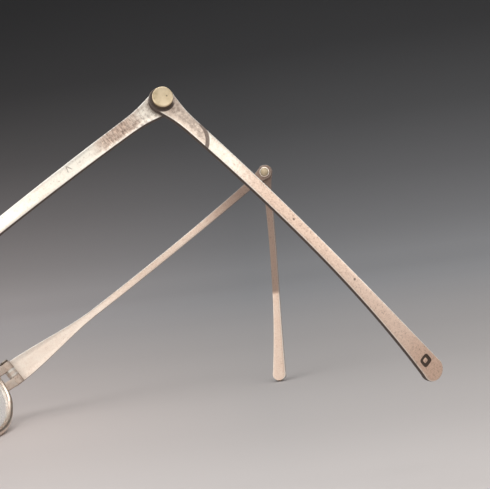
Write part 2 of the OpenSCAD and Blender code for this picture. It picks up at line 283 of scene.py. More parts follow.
# A box of vertices set out as a strap: round at its ends, waisted between, its edges rounded, and
# bent to an arc
def strapTree():
    tree, size = newTree("bentStrap", Float=(
        "Start", "End", "Round End", "Start Radius", "End Centre", "End Radius", "Neck", "Waist",
        "Waist At", "Swell", "Flare From", "Flare Length", "Smooth Flare", "Spade Flare",
        "Bend Radius", "Level", "Thickness", "Edge Round", "Way"), Material=("Metal",))
    box = add(tree, "GeometryNodeMeshCube", Size=(1, 1, 1), **straps["grid"])
    where = out(tree, add(tree, "GeometryNodeInputPosition"))
    split = add(tree, "ShaderNodeSeparateXYZ", Vector=where)
    along, across, through = (out(tree, split, k) for k in range(3))
    onFace = abs(through) > 0.4  # the box's outer rows; its faces lie at 0.5
    onEdge = abs(across) > 0.4
    edge = size("Edge Round")
    corner = straps["cornerShare"]
    inset = onFace * edge * (onEdge * corner + (1 - onEdge))
    low = size("Start") + inset
    high = size("End") - inset * size("Round End")
    s = low + (high - low) * (along + 0.5).smooth()
    fromEnd = s - size("End Centre")
    startCap = ((size("Start Radius") - inset) ** 2 - s * s).root()
    endCap = ((size("End Radius") - inset) ** 2 - fromEnd * fromEnd).root()
    shrink = (1 - s / size("Waist At")).most(0)
    swellWay = s / (size("Start Radius") * straps["swellReach"])
    flare = ((s - size("Flare From")) / size("Flare Length")).clamped()
    width = (size("Waist") + (size("Neck") - size("Waist")) * shrink * shrink
             + size("Swell") * (-(swellWay * swellWay)).exp()
             + size("Smooth Flare") * flare.smooth()
             + size("Spade Flare") * flare ** straps["spadePower"])
    inBody = (s > 0) * (s < size("End Centre"))
    half = ((width * 0.5 - inset) * inBody).most(startCap).most(endCap)
    unit = onEdge * across.sign() + (1 - onEdge) * across * 3
    rise = through.sign() * (size("Thickness") * 0.5 - onFace * onEdge * edge * corner
                             - (1 - onFace) * edge)
    radius = size("Bend Radius") + size("Level")
    turn = s / radius
    point = add(tree, "ShaderNodeCombineXYZ",
                X=(radius + rise) * turn.cosine() - size("Bend Radius"),
                Y=(radius + rise) * turn.sine() * size("Way"), Z=half * unit)
    moved = add(tree, "GeometryNodeSetPosition", Geometry=out(tree, box), Position=out(tree, point))
    merged = add(tree, "GeometryNodeMergeByDistance", Geometry=out(tree, moved),
                 Distance=straps["merge"])
    endTree(tree, merged, size("Metal"))
    return tree


# A closed cylinder to cut with or to join, from low to high along Z, or along X
def cutter(radius, low, high, at=(0, 0), alongX=False):
    work = bmesh.new()
    bmesh.ops.create_cone(work, cap_ends=True, segments=roundSteps, radius1=radius,
                          radius2=radius, depth=high - low)
    place = Matrix.Translation((*at, (low + high) / 2))
    if alongX:
        place = Matrix.Rotation(math.pi / 2, 4, "Y") @ place
    bmesh.ops.transform(work, matrix=place, verts=work.verts)
    return meshFrom(work, "cutter")


# The mesh with others cut from it or joined to it, in order
def carved(mesh, *steps):
    holder = linked("holder", mesh)
    tools = []
    for how, other in steps:
        tools.append(linked("tool", other))
        modifier = holder.modifiers.new(how, "BOOLEAN")
        modifier.operation = how
        modifier.solver = "EXACT"
        modifier.object = tools[-1]
    result = evaluated(holder)
    for tool in tools:
        bpy.data.objects.remove(tool)
    return result


def vertexVectors(mesh, what):
    flat = np.empty(len(mesh.vertices) * 3, np.float32)
    mesh.vertices.foreach_get(what, flat)
    return flat.reshape(-1, 3)


# Each strap carries (along, across) in millimetres and how far its surface turns across and out
def strapCoordinates(mesh, level, way):
    bend = straps["bendRadius"]
    points, normals = vertexVectors(mesh, "co"), vertexVectors(mesh, "normal")
    angle = np.arctan2(points[:, 1] * way, points[:, 0] + bend)
    along = angle * (bend + level)
    outward = normals[:, 0] * np.cos(angle) + normals[:, 1] * np.sin(angle) * way
    fromPunch = np.hypot(along - straps["tipLength"] + punch["at"], points[:, 2])
    across = np.where(fromPunch < punch["size"] * punch["clear"], 0, normals[:, 2])
    corners = np.empty(len(mesh.loops), np.int32)
    mesh.loops.foreach_get("vertex_index", corners)
    for label, columnPair in (("strap", (along, points[:, 2])), ("turned", (across, outward))):
        layer = mesh.uv_layers.new(name=label)
        layer.data.foreach_set("uv", np.stack(columnPair, 1)[corners].ravel().astype(np.float32))


# Turned pieces carry their radius, their height from the top of the head and their face
def pinCoordinates(mesh, top):
    mesh.uv_layers.new(name="pin")
    mesh.uv_layers.new(name="face")
    pin, face = mesh.uv_layers["pin"], mesh.uv_layers["face"]
    for loop in mesh.loops:
        x, y, z = mesh.vertices[loop.vertex_index].co
        pin.data[loop.index].uv = (math.hypot(x, y), z - top)
        face.data[loop.index].uv = (x, y)


silverLook = {
    "bright": (0.91, 0.855, 0.75),
    "tan": (0.78, 0.56, 0.435),
    "brown": (0.14, 0.095, 0.075),
    "pale": (0.96, 0.93, 0.86),
    # deep is the colour of painted shade: under a strap's lower edge, in the punch mark and round
    # the rivet's head
    "deep": (0.02, 0.015, 0.012),
    "roughness": 0.3,
    "cloud": 0.45,  # size of each pattern, as a scale per mm
    "speck": 2.2,
    "grain": 4.5,
    "lines": (0.5, 6, 6),  # stretch of the fine lines along a strap
    "hatch": (7, 1.1, 1.1),  # and of those across it
    "tarnished": (0.62, 0.82),  # parts of the patterns that show as brown, tan, lines and pits
    "toned": (0.34, 0.66),
    "lined": (0.55, 0.75),
    "pitted": (0.55, 0.68),
    "pitBrown": 0.22,
    # a strap's lower edge is painted dark as shade, and both its edges carry painted highlights
    "shadedLowerEdge": (0.4, 0.75),  # edges of a strap, by how far its surface turns across
    "lowerGlint": (0.12, 0.3, 0.42, 0.6),
    "upperGlint": (0.2, 0.45, 0.8, 0.98),
    "bump": 0.4,
    "grainDepth": 0.014,
}
# Places on a strap are in mm from the pivot; ranges of four fade in over two and out over two
barMarks = {
    "patch": (2.4, 4.9, 8.4, 11.4),  # brown, beside the elbow
    "patchAcross": (-0.95, -0.35),
    "patchBrown": 0.72,
    "hatched": (0.42, 0.72),
    "ripples": (2.2, 2.8, 3.8, 5.4),  # lines round the pivot
    "rippleFrom": 3.1,
    "rippleTurn": 9,
    "nick": 14.3,  # two strokes that meet
    "nickGap": 0.55,
    "spots": (24, 12),
    "head": (2.6, 1.9),
    "creamSheen": (9.4, 12.2),
    "warmer": (13, 19),
}
tipMarks = {
    "crescent": (5.5, -2.1, 3.0),  # a dark arc's middle, along and across, and its radius
    "crescentWidth": (0.32, 0.2),
    "crescentFrom": (5.2, 5.8),
    "mottledTo": (6.1, 5.4),
    # a painted shadow with some dirt, round the rivet's head on its lower side
    "dirtAndShade": (1.72, 1.6),  # under the rivet's head
    "shade": (3.6, 2.0),
    # the bright stretch before this is a painted reflection
    "restFrom": (10.8, 16.3),  # end of the bright stretch
    "end": (43.5, 50),  # the brown spade
    "pits": ((22.6, 0.1, 0.13), (34.0, 0.25, 0.16)),  # along, across and radius
}
# the first pair: how far along the inner face is painted in shade
farTipLook = {"innerShadeTo": (31.6, 30.4), "inner": (0.3, -0.3), "elbow": (12, 2)}
farBarLook = {"middle": (54, 36), "elbow": (25, 7), "flare": (46, 58), "hinge": (78.5, 81.5)}


def newMaterial(name):
    material = bpy.data.materials.new(name)
    material.use_nodes = True
    material.node_tree.nodes.clear()
    return material, material.node_tree


# Ends a material's tree with its one shader, from these inputs
def surface(tree, **values):
    shader = add(tree, "ShaderNodeBsdfPrincipled", **values)
    add(tree, "ShaderNodeOutputMaterial", Surface=out(tree, shader))


def noise(tree, vector, scale, detail=4, roughness=0.6, stretch=(1, 1, 1), shift=(0, 0, 0)):
    mapped = add(tree, "ShaderNodeMapping", Vector=vector, Scale=stretch, Location=shift)
    made = add(tree, "ShaderNodeTexNoise", {"noise_dimensions": "3D"}, Vector=out(tree, mapped),
               Scale=float(scale), Detail=float(detail), Roughness=roughness)
    return out(tree, made)


def blend(tree, amount, first, second):
    first, second = (tone if isinstance(tone, Field) else (*tone, 1) for tone in (first, second))
    mixed = add(tree, "ShaderNodeMix", {"data_type": "RGBA"}, i0=amount, i6=first, i7=second)
    return out(tree, mixed, 2)


def vectorMath(tree, operation, first, second):
    return out(tree, add(tree, "ShaderNodeVectorMath", {"operation": operation},
                         i0=first, i1=second))


def scaled(tree, vector, amount):
    return out(tree, add(tree, "ShaderNodeVectorMath", {"operation": "SCALE"},
                         i0=vector, Scale=amount))


def bumped(tree, strength, depth, height):
    return out(tree, add(tree, "ShaderNodeBump", Strength=strength, Distance=depth * mm,
                         Height=height))


# Both numbers of a UV map, and the map as a vector
def pair(tree, label):
    node = add(tree, "ShaderNodeUVMap", {"uv_map": label})
    split = add(tree, "ShaderNodeSeparateXYZ", Vector=out(tree, node))
    return out(tree, split, 0), out(tree, split, 1), out(tree, node)


def millimetres(tree):
    return scaled(tree, out(tree, add(tree, "ShaderNodeTexCoord"), "Object"), 1 / mm)


# Old silver. paint turns masks of brown, tan and pale into one piece's own, and adds a deep one of
# painted shade
def silver(name, paint=None, tarnish=0.25, tan=0.35, onStrap=True, seed=0, undersideShade=1.0):
    look = silverLook
    material, tree = newMaterial(name)
    shift = (seed * 7.3, seed * 3.1, seed * 1.7)
    along = across = turnOut = None
    if onStrap:
        along, across, vector = pair(tree, "strap")
        turnAcross, turnOut, _ = pair(tree, "turned")
    else:
        vector = millimetres(tree)
    cloud = noise(tree, vector, look["cloud"], detail=5, shift=shift)
    speck = noise(tree, vector, look["speck"], detail=6, roughness=0.75, shift=shift)
    grain = noise(tree, vector, look["grain"], detail=3, roughness=0.7, shift=shift)
    lines = noise(tree, vector, 1, stretch=look["lines"], shift=shift)
    hatch = noise(tree, vector, 1, roughness=0.7, stretch=look["hatch"], shift=shift)
    brown = (cloud * 0.6 + speck * 0.5).ease(*look["tarnished"]) * tarnish
    tanned = (cloud * 0.75 + speck * 0.3 - 0.02).ease(*look["toned"]) * tan
    pale = lines.ease(*look["lined"]) * 0.3
    deep = 0.0
    if paint:
        marks = {"along": along, "across": across, "outward": turnOut, "cloud": cloud,
                 "speck": speck, "grain": grain, "hatch": hatch}
        brown, tanned, pale, deep = paint(marks, brown, tanned, pale)
    fine = grain * 0.6 + speck * 0.4
    pits = fine.ease(*look["pitted"]) * look["pitBrown"]
    brown = (brown + pits + (fine - 0.45).most(0) * 0.45).clamped()
    if onStrap:
        # painted shade along the lower edge, and painted highlights along both edges
        below = (-turnAcross).ease(*look["shadedLowerEdge"])
        above = turnAcross.band(*look["upperGlint"])
        brown = brown.most(below * undersideShade)
        deep = (below * (undersideShade * 0.6)).most(deep)
        pale = pale.most(above * 0.9).most((-turnAcross).band(*look["lowerGlint"]) * 0.8)
        tanned = tanned * (1 - above * 0.8)
    uneven = (speck * 0.5 + grain * 0.5 - 0.5) * 0.9
    colour = blend(tree, (tanned + uneven).clamped(), look["bright"], look["tan"])
    colour = blend(tree, pale.clamped(), colour, look["pale"])
    colour = blend(tree, brown, colour, look["brown"])
    surface(tree, Base_Color=blend(tree, deep, colour, look["deep"]),
            Roughness=look["roughness"] + brown * 0.35 + tanned * 0.05 + lines * 0.08,
            Metallic=1 - brown * 0.9,
            Normal=bumped(tree, look["bump"], look["grainDepth"],
                          grain * 0.5 + speck * 0.5 + lines * 0.25 - pits * 1.5))
    return material


# Brown rubbed with fine lines beside the elbow, and a cream painted sheen towards the hinge
def nearBarMarks(at, brown, tanned, pale):
    marks = barMarks
    along, across, speck = at["along"], at["across"], at["speck"]
    reach = along + (at["cloud"] - 0.5) * 3
    patch = (across + (speck - 0.5) * 1.1).ease(*marks["patchAcross"])
    patch = patch * reach.band(*marks["patch"])
    worn = (at["hatch"] * 0.6 + speck * 0.6).ease(*marks["hatched"])
    fromPivot = distance(along, across)
    ripples = ((fromPivot - marks["rippleFrom"]) * marks["rippleTurn"]).sine() * 0.5 + 0.5
    ripples = ripples * fromPivot.band(*marks["ripples"]) * speck.ease(0.4, 0.6)
    fromNick = along - marks["nick"]
    nick = abs(fromNick - across * 0.5).ease(0.14, 0.04)
    nick = nick.most(abs(fromNick - marks["nickGap"] + across * 0.3).ease(0.12, 0.03))
    nick = nick * abs(across - 0.3).ease(0.55, 0.25) * speck.ease(0.3, 0.5)
    spots = reach.ease(*marks["spots"]) * speck.ease(0.56, 0.7) * (across + 0.4).ease(-0.2, 0.6)
    head = fromPivot.ease(*marks["head"]) * speck.ease(0.35, 0.6)
    allBrown = (patch * worn * marks["patchBrown"]).most(ripples * 0.6).most(nick * 0.6)
    allBrown = allBrown.most(spots * 0.45) + head * 0.4
    # painted sheen: paler and less tan towards the hinge
    creamSheen = reach.ease(*marks["creamSheen"])
    sheenUntanned = 1 - creamSheen * (0.78 - along.ease(*marks["warmer"]) * 0.45)
    return (brown * (1 - creamSheen) * 0.5 + allBrown, (tanned * 0.7 + patch * 0.5 + 0.12) * sheenUntanned,
            pale * (0.4 + creamSheen * 0.6) + creamSheen * 0.1, 0.0)


# Mottled at the pivot with painted shade and a painted shadow under the rivet's head, a dark
# crescent, a bright stretch that is a painted reflection, then tan to the end with its punch mark,
# painted dark inside as shade
def nearTipMarks(at, brown, tanned, pale):
    marks = tipMarks
    along, across, speck = at["along"], at["across"], at["speck"]
    arcAt, arcAcross, arcRadius = marks["crescent"]
    fromArc = distance(along - arcAt, across - arcAcross) - arcRadius
    crescent = abs(fromArc).ease(*marks["crescentWidth"]) * along.ease(*marks["crescentFrom"])
    inside = fromArc.ease(0.15, -0.15).most(along.ease(*marks["mottledTo"]))
    fromPivot = distance(along, across)
    # painted shadow with some dirt round the rivet's head, on its lower side only
    dirtAndShade = fromPivot.ease(*marks["dirtAndShade"]) * (1.3 - across).ease(0.1, 1.0)
    mottled = (speck * 0.7 + at["cloud"] * 0.4).ease(0.4, 0.66) * (across + speck).ease(-0.3, 0.5)
    # mottling, plus painted shade round the pivot
    mottled = inside * mottled * 0.48 + fromPivot.ease(*marks["shade"]) * 0.25
    rest = (along + across * 1.2 + (speck - 0.5) * 3).ease(*marks["restFrom"])
    # the bright stretch: a painted reflection, with more pale lines and less tan
    bright = (1 - inside) * (1 - rest)
    ending = along.ease(*marks["end"])
    allBrown = mottled.most(crescent * 0.85).most(dirtAndShade * 0.95)
    for x, y, radius in marks["pits"]:
        pit = distance(along - x, across - y).ease(radius * 1.4, radius * 0.6)
        allBrown = allBrown.most(pit * 0.8)
    grains = (speck * 0.5 + at["grain"] * 0.5).ease(0.46, 0.66)
    allBrown = allBrown + rest * (grains * 0.24 + along.ease(30, 20) * 0.06) + ending * 0.2
    allTan = (inside * 0.5 + rest * (along.ease(13, 20) * 0.14 + 0.68) + along.ease(26, 38) * 0.1
              + ending * 0.1 + bright * (speck.ease(0.35, 0.65) * 0.2 + 0.1))
    # paler from 25 to 36 mm on: painted sheen that evens out the light along the tip
    allPale = pale * (0.25 + bright * 0.5) + along.ease(25, 36) * (1 - ending) * 0.16
    half = punch["size"] / 2
    fromPunch = along - (straps["tipLength"] - punch["at"])
    square = (fromPunch ** 4 + across ** 4).root().root()
    # painted shade inside the punch mark's recess
    ring = square.band(half * 0.36, half * 0.48, half * 0.98, half * 1.1)
    return allBrown, allTan, allPale, (ring * 0.9).most(dirtAndShade * 0.55)


# Painted shade, dark and reddish, on the inner face of its upper half
def farTipMarks(at, brown, tanned, pale):
    innerShade = at["along"].ease(*farTipLook["innerShadeTo"]) * at["outward"].ease(*farTipLook["inner"])
    elbow = at["along"].ease(*farTipLook["elbow"])
    return (brown * 0.7 + 0.26 + innerShade * 0.48 + elbow * 0.15, tanned * 0.4 + 0.7 + innerShade,
            pale * (1 - innerShade) * 0.3, 0.0)


# Brown at the elbow, paler where it widens
def farBarMarks(at, brown, tanned, pale):
    along = at["along"]
    near = along.ease(*farBarLook["middle"]) * 0.22 + along.ease(*farBarLook["elbow"]) * 0.88
    hinge = along.ease(*farBarLook["hinge"])
    return (brown + near * 0.66 + 0.05 + hinge * 0.3, tanned * 0.5 + 0.45 + near * 0.45,
            pale * (1 - near) * 0.5 + along.ease(*farBarLook["flare"]) * 0.2, 0.0)


# The hinge blocks, painted dark brown as shade
def paintedBlockShade(at, brown, tanned, pale):
    return brown + 0.4, tanned + 0.4, pale * 0.3, 0.0


glassLook = {
    "clean": (0.94, 0.93, 0.89),
    "hazed": (0.86, 0.85, 0.81),
    "haze": 0.06,
    "dust": 0.9,
    "refraction": 1.52,
}


def lensGlass(name):
    material, tree = newMaterial(name)
    vector = millimetres(tree)
    haze = noise(tree, vector, glassLook["haze"], detail=5)
    dust = noise(tree, vector, glassLook["dust"], detail=3)
    surface(tree, Base_Color=blend(tree, haze, glassLook["clean"], glassLook["hazed"]),
            Roughness=0.03 + haze.ease(0.45, 0.8) * 0.08 + dust.ease(0.6, 0.75) * 0.1,
            Alpha=0.26 + haze.ease(0.4, 0.8) * 0.1 + dust.ease(0.62, 0.74) * 0.12,
            IOR=glassLook["refraction"])
    return material


brassLook = {
    "light": (0.74, 0.61, 0.42),
    "deep": (0.60, 0.48, 0.31),
    "dirtAndShade": (0.085, 0.058, 0.04),
    "cloud": 0.9,
    "speck": 5.5,
    # the head's side is painted dark as shade past this radius and below this height
    "sideFrom": (0.95, 1.05),  # radius past which the head's side darkens
    "sideDown": (-0.14, -0.3),  # height below the head's top, in mm
    "tailDown": (-1.2, -1.6),
    "pit": (0.25, 0.45),  # one pit in the rivet's face
    "pitSize": (0.12, 0.05),
    "grainDepth": 0.016,
}


# Pale yellow metal with pits, painted darker down its side as shade
def brass(name, seed, pitted=False, light=brassLook["light"], deep=brassLook["deep"], dirtAndShade=0.3):
    look = brassLook
    material, tree = newMaterial(name)
    vector = millimetres(tree)
    shift = (seed * 5.1, seed * 2.3, 0)
    cloud = noise(tree, vector, look["cloud"], detail=5, shift=shift)
    speck = noise(tree, vector, look["speck"], detail=5, roughness=0.75, shift=shift)
    radius, depth, _ = pair(tree, "pin")
    # painted shade down the head's side
    down = depth.ease(*look["sideDown"]) * radius.ease(*look["sideFrom"])
    stains = (cloud * 0.5 + speck * 0.5).ease(0.54, 0.7) * dirtAndShade
    dark = stains.most(down * 0.95).most(depth.ease(*look["tailDown"]) * 0.35)
    if pitted:
        faceX, faceY, _ = pair(tree, "face")
        pit = distance(faceX - look["pit"][0], faceY - look["pit"][1]).ease(*look["pitSize"])
        dark = dark.most(pit * 0.9 * depth.ease(-0.1, -0.05))
    colour = blend(tree, cloud.ease(0.35, 0.7), light, deep)
    surface(tree, Base_Color=blend(tree, dark, colour, look["dirtAndShade"]),
            Roughness=0.36 + dark * 0.3 + speck * 0.1, Metallic=1 - dark * 0.5,
            Normal=bumped(tree, 0.45, look["grainDepth"], speck + cloud * 0.5))
    return material


metals = {
    "left_side_bar": silver("rubbedSilverLeftBar", nearBarMarks, seed=1),
    "right_side_bar": silver("rubbedSilverRightBar", farBarMarks, seed=2, tarnish=0.3, tan=0.4,
                             undersideShade=0.3),
    "left_tip_bar": silver("handledSilverLeftTip", nearTipMarks, seed=3),
    "right_tip_bar": silver("handledSilverRightTip", farTipMarks, seed=4, undersideShade=0.5),
    "front": silver("frontSilver", seed=5, onStrap=False, tarnish=1.0, tan=0.8),
    # the blocks' heavy tarnish is painted shade
    "block": silver("blockSilver", paintedBlockShade, seed=7, onStrap=False, tarnish=1.6),
    "washer": silver("washerSilver", seed=6, onStrap=False, tarnish=0.7, tan=0.7),
    "rivet": brass("rivetBrass", seed=1, pitted=True),
    "screw": brass("screwMetal", seed=2, light=(0.62, 0.57, 0.5), deep=(0.45, 0.38, 0.31),
                   dirtAndShade=0.6),
    "lens": lensGlass("lensGlass"),
}
print("materials made:", len(metals))


# Widths of the two lengths and where along them they are, from the pivot
barWidths = {"head": 1.8, "neck": 2.25, "waist": 1.8, "waistAt": 34, "hinge": 6.0, "flare": 26}
tipWidths = {"head": 1.7, "neck": 2.05, "waist": 1.7, "waistAt": 23, "end": 3.36, "spade": 0.98}
pins = {"rivet": 0.6, "screw": 0.6, "seat": 0.01, "run": 0.05}  # radii and their clearances
cutReach = 5  # enough to cut right through


# The turn of the arc from the elbow to the hinge, and how far the hinge is from its middle
def barArc():
    bend = straps["bendRadius"]
    axis = bend - straps["knuckleRadius"] + straps["barThickness"] / 2
    turn = math.acos((bend ** 2 + axis ** 2 - straps["barLength"] ** 2) / (2 * bend * axis))
    return turn, axis


def strapMesh(widths, metal, others):
    return grown(strap, {
        "Start": -widths["head"], "Start Radius": widths["head"], "Neck": widths["neck"],
        "Waist": widths["waist"], "Waist At": widths["waistAt"],
        "Swell": straps["headSwell"] * widths["head"] - widths["neck"],
        "Bend Radius": straps["bendRadius"], "Edge Round": straps["edgeRound"],
        "Metal": metal, **others})


def sideBar(name):
    turn, axis = barArc()
    bend = straps["bendRadius"]
    arc = bend * turn
    metal = metals[name + "_side_bar"]
    mesh = strapMesh(barWidths, metal, {
        "End": arc, "Round End": 0, "End Centre": arc, "End Radius": 0,
        "Flare From": arc - barWidths["flare"], "Flare Length": barWidths["flare"],
        "Smooth Flare": barWidths["hinge"] - barWidths["waist"], "Spade Flare": 0,
        "Level": 0, "Thickness": straps["barThickness"], "Way": -1})
    at = (axis * math.cos(turn) - bend, -axis * math.sin(turn))
    knuckle = straps["knuckleHeight"] / 2
    shoulder = straps["shoulderRadius"]
    mesh = carved(
        mesh,
        ("DIFFERENCE", cutter(shoulder, knuckle, cutReach, at)),
        ("DIFFERENCE", cutter(shoulder, -cutReach, -knuckle, at)),
        ("UNION", cutter(straps["knuckleRadius"], -knuckle, knuckle, at)),
        ("DIFFERENCE", cutter(pins["screw"] + pins["run"], -cutReach, cutReach, at)),
        ("DIFFERENCE", cutter(pins["rivet"] + pins["seat"], -cutReach, cutReach, alongX=True)))
    strapCoordinates(mesh, 0, -1)
    paintAll(mesh, metal)
    finish(mesh, elbowPlace(name), name + "SideBar", name + "_side",
           [name + "_side_bar"])


def tipBar(name):
    level = straps["barThickness"] / 2 + straps["slide"] + straps["tipThickness"] / 2
    endRadius = tipWidths["end"] / 2
    endCentre = straps["tipLength"] - endRadius
    metal = metals[name + "_tip_bar"]
    mesh = strapMesh(tipWidths, metal, {
        "End": straps["tipLength"], "Round End": 1, "End Centre": endCentre,
        "End Radius": endRadius, "Flare From": tipWidths["waistAt"],
        "Flare Length": endCentre - tipWidths["waistAt"], "Smooth Flare": 0,
        "Spade Flare": tipWidths["spade"] * tipWidths["end"] - tipWidths["waist"],
        "Level": level, "Thickness": straps["tipThickness"], "Way": 1})
    bore = cutter(pins["rivet"] + pins["run"], -cutReach, cutReach, alongX=True)
    steps = [("DIFFERENCE", bore)]
    if name == "left":
        steps.append(("DIFFERENCE", punchTool(level)))
    mesh = carved(mesh, *steps)
    strapCoordinates(mesh, level, 1)
    paintAll(mesh, metal)
    finish(mesh, tipPlace(name), name + "TipBar", name + "_tip",
           [name + "_tip_bar"])


# Faces between two closed rows of vertices, of which one may be a single point
def joinRows(work, one, two):
    count = max(len(one), len(two))
    for k in range(count):
        j = (k + 1) % count
        corners = [one[k % len(one)], one[j % len(one)], two[j % len(two)], two[k % len(two)]]
        corners = [c for i, c in enumerate(corners) if c not in corners[:i]]
        if len(corners) > 2:
            work.faces.new(corners)


# A soft square with a raised dot left in its middle, set in the outer face
def punchTool(level):
    bend, count = straps["bendRadius"], punch["corners"]
    face = bend + level + straps["tipThickness"] / 2
    work = bmesh.new()
    rows = []
    for size, depth in punch["rings"]:
        power = 4 if size > 0.5 else 2
        row = []
        for k in range(count):
            x, y = math.cos(2 * math.pi * k / count), math.sin(2 * math.pi * k / count)
            reach = size * punch["size"] / 2 * (abs(x) ** power + abs(y) ** power) ** (-1 / power)
            row.append(work.verts.new((face - depth * punch["depth"], reach * x, reach * y)))
        rows.append(row)
    for one, two in zip(rows, rows[1:]):
        joinRows(work, one, two)
    work.faces.new(rows[0])
    work.faces.new(rows[-1])
    bmesh.ops.recalc_face_normals(work, faces=work.faces)
    turn = (straps["tipLength"] - punch["at"]) / (bend + level)
    place = Matrix.Translation((-bend, 0, 0)) @ Matrix.Rotation(turn, 4, "Z")
    bmesh.ops.transform(work, matrix=place, verts=work.verts)
    return meshFrom(work, "punch")


strap = strapTree()
for name in sides:
    sideBar(name)
    tipBar(name)
print("sides made")


# Rivets, washers and screws, which are turned round an axis
turned = {
    "rivetHead": 1.35,
    "rivetHeight": 1.0,
    "rivetEdge": 0.16,
    "crown": (0.02, 0.025),  # rise of a head's face, half way in and at its middle
    "edgeSteps": 5,
    "tail": 0.4,
    # share of the hammered tail's height, and radius
    "tailShape": ((1, 0), (0.97, 0.35), (0.85, 0.68), (0.55, 0.95), (0.2, 1.06), (0, 1.07)),
    "washer": 1.25,
    "washerThickness": 0.3,
    "washerEdge": 0.08,
    "screwHead": 1.1,
    "screwHeight": 0.7,
    "screwEdge": 0.14,
    "screwTop": 3.0,
    "slot": 0.3,
    "slotLength": 4,
}


# A body turned round Z from (radius, height) points, closed on the axis or on itself
def lathed(profile):
    work = bmesh.new()
    rows = []
    for radius, height in profile:
        turns = [2 * math.pi * k / roundSteps for k in range(roundSteps if radius else 1)]
        rows.append([work.verts.new((radius * math.cos(a), radius * math.sin(a), height))
                     for a in turns])
    for one, two in zip(rows, rows[1:]):
        joinRows(work, one, two)
    bmesh.ops.recalc_face_normals(work, faces=work.faces)
    return meshFrom(work, "turned")


# Profile points of a head with a rounded edge and a low crown, going up and in
def headProfile(radius, height, edge, base):
    halfRise, rise = turned["crown"]
    top = base + height - rise
    points = [(radius, base)]
    for k in range(turned["edgeSteps"] + 1):
        a = math.pi / 2 * k / turned["edgeSteps"]
        points.append((radius - edge + edge * math.cos(a), top - edge + edge * math.sin(a)))
    return points + [(radius / 2, top + halfRise), (0, top + rise)]


def elbowPins(name):
    place = elbowPlace(name) @ Matrix.Rotation(math.pi / 2, 4, "Y")
    plate = -straps["barThickness"] / 2 - pins["seat"]
    inmost = plate - turned["washerThickness"]
    tail = [(radius, inmost - share * turned["tail"]) for share, radius in turned["tailShape"]]
    shank = [(pins["rivet"], inmost), (pins["rivet"], headLevel)]
    head = headProfile(turned["rivetHead"], turned["rivetHeight"], turned["rivetEdge"], headLevel)
    rivet = lathed(tail + shank + head)
    pinCoordinates(rivet, headLevel + turned["rivetHeight"])
    paintAll(rivet, metals["rivet"])
    finish(rivet, place, name + "ElbowRivet", name + "_side",
           [name + "_elbow_rivet"])
    bore = pins["rivet"] + pins["seat"]
    rim, edge = turned["washer"], turned["washerEdge"]
    washer = lathed([(bore, inmost), (rim - edge, inmost), (rim, inmost + edge), (rim, plate),
                     (bore, plate), (bore, inmost)])
    paintAll(washer, metals["washer"])
    finish(washer, place, name + "Washer", name + "_side", [name + "_washer"])


def hingeScrew(name):
    top, height = turned["screwTop"], turned["screwHeight"]
    shank = [(0, -top), (pins["screw"], -top), (pins["screw"], top)]
    screw = lathed(shank + headProfile(turned["screwHead"], height, turned["screwEdge"], top))
    work = bmesh.new()
    bmesh.ops.create_cube(work, size=1)
    bmesh.ops.scale(work, vec=(turned["slotLength"], turned["slot"], height), verts=work.verts)
    bmesh.ops.translate(work, vec=(0, 0, top + height), verts=work.verts)
    screw = carved(screw, ("DIFFERENCE", meshFrom(work, "slot")))
    pinCoordinates(screw, top + height)
    paintAll(screw, metals["screw"])
    finish(screw, hingePlace(name), name + "HingeScrew", "front",
           [name + "_hinge_screw"])


for name in sides:
    elbowPins(name)
    hingeScrew(name)
print("pins made")


eyewire = {
    "width": 39.2,
    "height": 25.2,
    "endRadius": 9.3,  # outside, of the oval's two ends
    "wire": 0.85,  # radius
    "groove": 0.5,
    "mouth": 0.85,
    "inset": 3.2,  # from the hinge to its outer end, then forward and up
    "forward": 2.2,
    "rise": 1.0,
    "split": 0.3,
    "steps": 40,  # to each arc of the oval
    "sections": 44,
}
lensShape = {
    "edge": 0.9,
    "dome": 0.5,
    "gap": 0.06,
    "steps": 24,
    "rings": (1, 0.97, 0.9, 0.8, 0.68, 0.55, 0.4, 0.25, 0.1),
    "smoothAngle": 30,
}


# The oval moved out from its outer edge by off, from one angle on its outer end round to another
def ovalPoints(off, start, stop, steps):
    a, b, r = eyewire["width"] / 2, eyewire["height"] / 2, eyewire["endRadius"]
    c = a - r
    flank = (c * c + b * b - r * r) / (2 * (b - r))
    drop = flank - b
    lip = math.atan2(drop, c)
    half, full = math.pi, 2 * math.pi
    arcs = ((c, 0, r, start, lip), (0, -drop, flank, lip, half - lip),
            (-c, 0, r, half - lip, half + lip), (0, drop, flank, half + lip, full - lip),
            (c, 0, r, full - lip, full + stop))
    points = []
    for arc, k in [(arc, k) for arc in arcs for k in range(steps)] + [(arcs[-1], steps)]:
        x, y, radius, low, high = arc
        angle = low + (high - low) * k / steps
        points.append((x + (radius + off) * math.cos(angle),
                       y + (radius + off) * math.sin(angle)))
    return points


# X outwards, Y up the front, Z to the back, at the middle of one eyewire
def eyePlace(name):
    hinge = hingePlace(name)
    side, back, up = (hinge.col[k].to_3d().normalized() for k in range(3))
    along = -eyewire["inset"] - eyewire["width"] / 2
    at = hinge.translation + mm * (side * along - back * eyewire["forward"] + up * eyewire["rise"])
    return columns(side, up, back, at)


